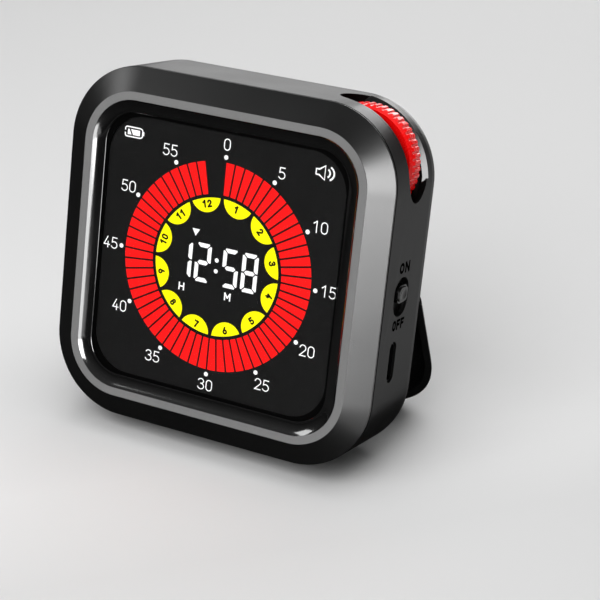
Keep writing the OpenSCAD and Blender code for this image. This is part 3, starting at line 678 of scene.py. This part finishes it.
def shapes(k):
    """The strokes of each character in a box of 1 by 1; a half circle as wide as the box is k high."""
    left = stroke_of((0, 0), (0, 1))
    right = stroke_of((1, 0), (1, 1))
    bar = stroke_of((0, 0.5), (1, 0.5))
    return {
        "0": [oval(k)],
        "1": [stroke_of((0.12, 0.78), (0.62, 1)), stroke_of((0.62, 1), (0.62, 0))],
        "2": [(arc(0.5, 1 - k, 0.5, k, 168, -32) + [(0.02, 0)], False), stroke_of((0.02, 0), (1, 0))],
        "3": [(arc(0.46, 0.77, 0.46, 0.23, 160, -90), False),
              (arc(0.46, 0.27, 0.54, 0.27, 90, -160), False)],
        "4": [stroke_of((0.62, 1), (0, 0.26)), stroke_of((0, 0.26), (1, 0.26)),
              stroke_of((0.72, 0.52), (0.72, 0))],
        "5": [stroke_of((0.14, 1), (0.92, 1)), stroke_of((0.14, 1), (0.08, 0.55)),
              (arc(0.46, 0.31, 0.54, 0.31, 118, -150), False)],
        "6": [stroke_of((0.62, 1), (0.10, 0.47)), (arc(0.5, 0.29, 0.5, 0.29, 0, 360, 20), True)],
        "7": [stroke_of((0, 1), (1, 1)), stroke_of((1, 1), (0.4, 0))],
        "8": [(arc(0.5, 0.77, 0.42, 0.23, 0, 360, 18), True),
              (arc(0.5, 0.27, 0.5, 0.27, 0, 360, 18), True)],
        "9": [stroke_of((0.38, 0), (0.90, 0.53)), (arc(0.5, 0.71, 0.5, 0.29, 0, 360, 20), True)],
        "O": [oval(k)],
        "N": [left, stroke_of((0, 1), (1, 0)), right],
        "F": [left, stroke_of((0, 1), (1, 1)), stroke_of((0, 0.5), (0.85, 0.5))],
        "H": [left, right, bar],
        "M": [left, stroke_of((0, 1), (0.5, 0.35)), stroke_of((0.5, 0.35), (1, 1)),
              stroke_of((1, 1), (1, 0))],
    }


def character(ch, x, y, width, height, stroke):
    """Strokes of one plain upright number or letter whose box is centred on x, y."""
    w, h = width - stroke, height - stroke
    strokes = []
    for points, closed in shapes(min(0.5, 0.5 * w / h))[ch]:
        points = [Vector((x - w / 2 + w * u, y - h / 2 + h * v)) for u, v in points]
        if not closed:                              # square ends that reach half a stroke further
            points[0] += (points[0] - points[1]).normalized() * stroke / 2
            points[-1] += (points[-1] - points[-2]).normalized() * stroke / 2
        strokes.append((points, closed))
    return strokes


def word(text, x, y, width, height, stroke, gap):
    """Strokes of a few characters side by side, centred on x, y."""
    step = width + gap
    first = x - step * (len(text) - 1) / 2
    strokes = []
    for k, ch in enumerate(text):
        strokes += character(ch, first + step * k, y, width, height, stroke)
    return strokes


# ---------------------------------------------------------------- display artwork

def minute_ring(name, inner, outer, gap, height):
    """58 minute marks of 6 degrees, parted by twice the gap; one is modelled and turned round the dial."""

    def corner(r, share):
        turn = math.asin(gap / r) + share * (math.radians(6) - 2 * math.asin(gap / r))
        return (r * math.sin(turn), r * math.cos(turn))

    outline = [corner(inner, 1)] + [corner(outer, k / 3) for k in (3, 2, 1, 0)] + [corner(inner, 0)]
    mark = cut_plate("mark", outline, height)
    marks = [mark] + [twin(mark, -6 * k) for k in range(1, 58)]
    return moved(joined(name, marks), *DIAL)


def hour_petals():
    """Twelve round fields inside the minute ring, cut off by its inner edge."""
    dial_face = disc(15.75, 240, 0, 0)
    petal = disc(3.76, 72, 0, 16.25, PRINT_Z, 4 * INK)
    carve(petal, dial_face, "INTERSECT")
    petals = [twin(petal, 15 - 30 * k) for k in range(1, 13)]
    bpy.data.objects.remove(petal)
    return moved(joined("hour_petals", petals), *DIAL)


def dial_numbers():
    """The minutes round the ring, each at its own place."""
    places = {"0": (0, 27.5), "5": (14.1, 23.65), "10": (24.6, 13.65), "15": (28.25, -0.1),
              "20": (24.6, -14.35), "25": (14.4, -24.6), "30": (0, -28), "35": (-14.4, -24.5),
              "40": (-24.35, -14.5), "45": (-28, -0.25), "50": (-24.4, 13.65), "55": (-14.3, 23.75)}
    width, height, stroke, gap = 1.7, 2.7, 0.25, 0.35
    strokes = []
    for text, (x, y) in places.items():
        strokes += word(text, x, y, width, height, stroke, gap)
    return line("minute_numbers", strokes, stroke)


def petal_numbers():
    """1 to 12 on the petals: their feet point inwards, but outwards on the lower petals."""
    width, height, stroke, gap, radius = 1.15, 1.75, 0.42, 0.14, 14.42
    numbers = []
    for k in range(1, 13):
        turn = 30 * k - 15
        flip = 180 if k in (5, 6, 7, 8) else 0
        one = line("hour_number", word(str(k), 0, 0, width, height, stroke, gap), stroke, PRINT_Z + INK,
                   0.6 * INK)
        a = math.radians(turn)
        numbers.append(twin(one, flip - turn, (radius * math.sin(a), radius * math.cos(a), 0)))
        bpy.data.objects.remove(one)
    return moved(joined("hour_numbers", numbers), *DIAL)


def minute_dots():
    """Twelve dots outside the minute ring."""
    dot = disc(0.52, 24, 0, 25.05)
    dots = [dot] + [twin(dot, 30 * k) for k in range(1, 12)]
    return moved(joined("minute_dots", dots), *DIAL)


def blunted(points, cut):
    """The outline with its sharp tips trimmed off."""
    outline = []
    for before, tip, after in zip(points[-1:] + points[:-1], points, points[1:] + points[:1]):
        one, two = Vector(before) - Vector(tip), Vector(after) - Vector(tip)
        if one.angle(two) < math.radians(60):
            outline += [Vector(tip) + one.normalized() * cut, Vector(tip) + two.normalized() * cut]
        else:
            outline.append(tip)
    return outline


def segment_digit(left, lit):
    """One digit of seven mitred segments; lit names the ones that are on."""
    right, low, high, thick, gap, tip = left + 4.05, -4.5, 4.45, 0.98, 0.18, 0.45
    middle = (low + high) / 2
    above, below = middle + thick / 2, middle - thick / 2
    in_left, in_right, in_low, in_high = left + thick, right - thick, low + thick, high - thick
    bars = {
        "a": [(in_left + gap, in_high), (in_right - gap, in_high), (right - gap, high), (left + gap, high)],
        "b": [(in_right, above + gap), (right - thick / 2, middle + gap), (right, middle + gap),
              (right, high - gap), (in_right, in_high - gap)],
        "c": [(in_right, in_low + gap), (right, low + gap), (right, middle - gap),
              (right - thick / 2, middle - gap), (in_right, below - gap)],
        "d": [(left + gap, low), (right - gap, low), (in_right - gap, in_low), (in_left + gap, in_low)],
        "e": [(left, low + gap), (in_left, in_low + gap), (in_left, below - gap),
              (left + thick / 2, middle - gap), (left, middle - gap)],
        "f": [(left, middle + gap), (left + thick / 2, middle + gap), (in_left, above + gap),
              (in_left, in_high - gap), (left, high - gap)],
        "g": [(left + gap + thick / 2, middle), (in_left + gap, below), (in_right - gap, below),
              (right - gap - thick / 2, middle), (in_right - gap, above), (in_left + gap, above)],
    }
    return [cut_plate("bar", blunted(bars[k], tip)) for k in lit]


def time_digits():
    """12:58 in segments, with a pointer above it and the letters H and M below."""
    parts = segment_digit(-10.38, "bc") + segment_digit(-5.5, "abged") + segment_digit(1.58, "afgcd")
    parts += segment_digit(6.5, "abcdefg")
    parts += [disc(0.5, 20, 0.05, y) for y in (1.22, -1.28)]
    parts.append(cut_plate("pointer", [(-6.85, 7.35), (-5.9, 5.7), (-4.9, 7.35)]))
    y, height, stroke = -6.5, 1.8, 0.34
    letters = character("H", -8.4, y, 1.5, height, stroke) + character("M", 3.57, y, 1.65, height, stroke)
    parts.append(line("letters", letters, stroke))
    return joined("time_digits", parts)


def battery_icon():
    """Rounded frame with a small gap at its left, the cap at its right and two slanted bars of charge."""
    shell = [(-26.4, 26.3)]
    shell += arc(-25.95, 26.7, 0.45, 0.45, 180, 90, 4) + arc(-22.75, 26.7, 0.9, 0.45, 90, 0, 4)
    shell += arc(-22.75, 25.4, 0.9, 0.45, 0, -90, 4) + arc(-25.95, 25.4, 0.45, 0.45, 270, 180, 4)
    shell += [(-26.4, 25.8)]
    return [line("shell", [(shell, False)], 0.3),
            line("cap", [stroke_of((-21.6, 25.6), (-21.6, 26.5))], 0.4),
            cut_plate("charge", [(-25.75, 25.4), (-24.75, 25.4), (-25.35, 26.65), (-25.75, 26.65)]),
            cut_plate("charge", [(-24.35, 25.4), (-22.55, 25.4), (-22.55, 26.65), (-24.95, 26.65)])]


def speaker_icon():
    """A horn and two waves."""
    horn = [(22.2, 25.05), (22.95, 25.05), (24.35, 24.1), (24.35, 27.2), (22.95, 26.25), (22.2, 26.25)]
    waves = [(arc(24.35, 25.65, 1.2, 1.05, -55, 55), False), (arc(24.35, 25.65, 2.2, 1.75, -55, 55), False)]
    return [line("horn", [(horn, True)] + waves, 0.4)]


ARTWORK = [
    (minute_ring("minute_ground", 16.6, 23.85, 0.08, INK / 2), RING_GROUND),
    (minute_ring("minute_marks", 16.55, 23.9, 0.22, INK), RED),
    (hour_petals(), YELLOW),
    (petal_numbers(), NUMBER_BLACK),
    (dial_numbers(), WHITE),
    (minute_dots(), WHITE),
    (time_digits(), WHITE),
    (joined("status_icons", battery_icon() + speaker_icon()), WHITE),
]
for piece, colour in ARTWORK:
    stand_up(piece, colour)


# ---------------------------------------------------------------- lettering of the switch

def switch_letters():
    """ON above the knob and OFF below it, on the side band: the letters' right is the case's back."""
    middle_z = 15.55
    strokes = word("ON", 0, 6.35, 2.4, 2.5, 0.66, 0.5) + word("OFF", 0, -6.6, 1.75, 2.4, 0.6, 0.35)
    flat = line("switch_letters", strokes, 0.62, 0, SIDE_INK)
    flat.matrix_world = Matrix(((0, 0, 1, HALF), (0, 1, 0, 0), (-1, 0, 0, middle_z), (0, 0, 0, 1)))
    return settle(flat)


stand_up(switch_letters(), LETTER_PRINT)


# ---------------------------------------------------------------- floor, light and camera

BACKDROP = 216         # tone of the far floor and of the room behind it
SHEEN = 0.4            # how much of it the gloss sees, behind the case
FAR = (0.36, 0.7)      # the floor turns to the backdrop's tone between these distances, in metres


def in_view(where):
    """1 for the view, also through glass, SHEEN for the gloss behind the case, and 0 for other light."""
    looked, gloss, through = (where.node("LightPath", out=k) for k in (0, 3, 6))
    behind = where.axis(1).band(0.0, 0.3)
    return (looked + through + gloss * behind * SHEEN).band(0.0, 1.0)


def floor():
    """Pale paper, with painted shade at the front right that evens out the lamp light falling there."""
    fresh()
    bpy.ops.mesh.primitive_plane_add(size=12, location=(0, 0, 0))
    ob = named(bpy.context.object, "studio_floor")
    f = Finish("studio_floor_paper", Roughness=0.9, Specular_IOR_Level=0.0)
    paper = mix(f.noise(900.0, 2.0).spots(), grey(224), grey(227))
    front_right = f.place.axis(0) - f.place.axis(1)
    # Painted shade: the paper turns darker towards the front right, where the front lamps light the floor
    # more than elsewhere.
    f.set(Base_Color=mix(front_right.band(0.03, 0.08), paper, grey(214)))
    far = f.place.node("VectorMath", {"operation": "LENGTH"}, out=1, i0=f.place).band(*FAR)
    lit = Wire(f.tree, f.shader.outputs[0])
    pale = f.place.node("Emission", Color=(*grey(BACKDROP), 1))
    both = f.place.node("MixShader", i0=far * in_view(f.place), i1=lit, i2=pale)
    f.tree.links.new(both.source, f.tree.nodes["Material Output"].inputs["Surface"])
    ob.data.materials.append(f.material)


def black_card():
    """A black card in front of and to the left of the case: only the gloss sees it, and stays dark."""
    fresh()
    bpy.ops.mesh.primitive_plane_add(size=1, location=(-0.575, -0.475, 0.0003))
    bpy.context.object.scale = (1.25, 1.45, 1)
    ob = named(settle(bpy.context.object), "black_card")
    ob.data.materials.append(speckled("black_card_paper", grey(8), grey(12), 0.9, 3.0, 0.01))
    ob.visible_camera = ob.visible_diffuse = ob.visible_shadow = False


def sky(low, high):
    """A dim room that grows lighter towards its ceiling, and shows the backdrop's tone to the camera."""
    world = bpy.data.worlds.new("studio")
    bpy.context.scene.world = world
    world.use_nodes = True
    back = world.node_tree.nodes["Background"]
    where = Wire(world.node_tree, None).node("TexCoord")
    level = where.axis(2).band(0.0, 0.9) * (high - low) + low
    level = level + (grey(BACKDROP)[0] - level) * in_view(where)
    world.node_tree.links.new(level.source, back.inputs["Strength"])
    back.inputs["Color"].default_value = (1, 1, 1, 1)


def lamp(name, place, aim, width, height, level, gloss=True, shade=True):
    """A softbox whose face is level times as bright as white. Without gloss it shows in no reflection,
    and without shade it shows in reflections alone."""
    bpy.ops.object.light_add(type="AREA", location=place)
    ob = bpy.context.object
    ob.name = name
    ob.rotation_euler = (Vector(aim) - Vector(place)).to_track_quat("-Z", "Y").to_euler()
    ob.data.energy = level * math.pi * width * height
    ob.data.shape = "RECTANGLE"
    ob.data.size, ob.data.size_y = width, height
    ob.visible_camera = False
    ob.visible_glossy, ob.visible_diffuse = gloss, shade


def camera():
    """At the front right and above, with a long lens. Its three directions are those of an upright case,
    which lean back with it, and its place is that of the lying case."""
    right = Vector((0.88166045, 0.46059943, 0.10258174))
    down = Vector((0.20930449, -0.18687539, -0.9598277))
    ahead = Vector((-0.42292609, 0.86771295, -0.26116617))
    place = STANDING @ Vector((193.2036, 102.6996, 377.9363))

    def leant(v):
        return Vector((v.x, v.z * SIN + v.y * COS, v.z * COS - v.y * SIN))

    x, y, z = leant(right), -leant(down), -leant(ahead)
    data = bpy.data.cameras.new("studio_camera")
    data.lens, data.sensor_width = 111.37, 36
    ob = bpy.data.objects.new("studio_camera", data)
    bpy.context.scene.collection.objects.link(ob)
    ob.matrix_world = Matrix(((x.x, y.x, z.x, place.x), (x.y, y.y, z.y, place.y), (x.z, y.z, z.z, place.z),
                              (0, 0, 0, 1)))
    bpy.context.scene.camera = ob


floor()
black_card()
sky(0.02, 0.13)
lamp("overhead_softbox", (0.12, 0.17, 0.9), (0.05, 0, 0.03), 0.9, 0.9, 2.2, gloss=False)
lamp("front_fill", (-0.05, -0.62, 0.65), (0, 0, 0.03), 0.8, 0.8, 3.15, gloss=False)
lamp("front_softbox", (0.36, -0.4, 0.2), (0, 0, 0.2), 0.42, 0.3, 10, shade=False)
lamp("low_softbox", (0.2239, -0.1509, 0.029), (0, 0, 0.029), 0.095, 0.058, 5, shade=False)
lamp("near_strip", (0.065, -0.131, 0.04), (-0.035, -0.02, 0.04), 0.065, 0.08, 3.4, shade=False)
lamp("left_softbox", (-0.42, -0.25, 0.36), (0, 0, 0.06), 0.25, 0.2, 3.3, shade=False)
lamp("rear_softbox", (-0.155, 0.58, 0.126), (0, 0, 0.06), 0.42, 0.24, 1.3)
lamp("rear_strip", (-0.04, 0.6, 0.12), (0, 0, 0.1), 0.2, 0.2, 6, shade=False)
camera()
bpy.context.scene.view_settings.view_transform = "Standard"
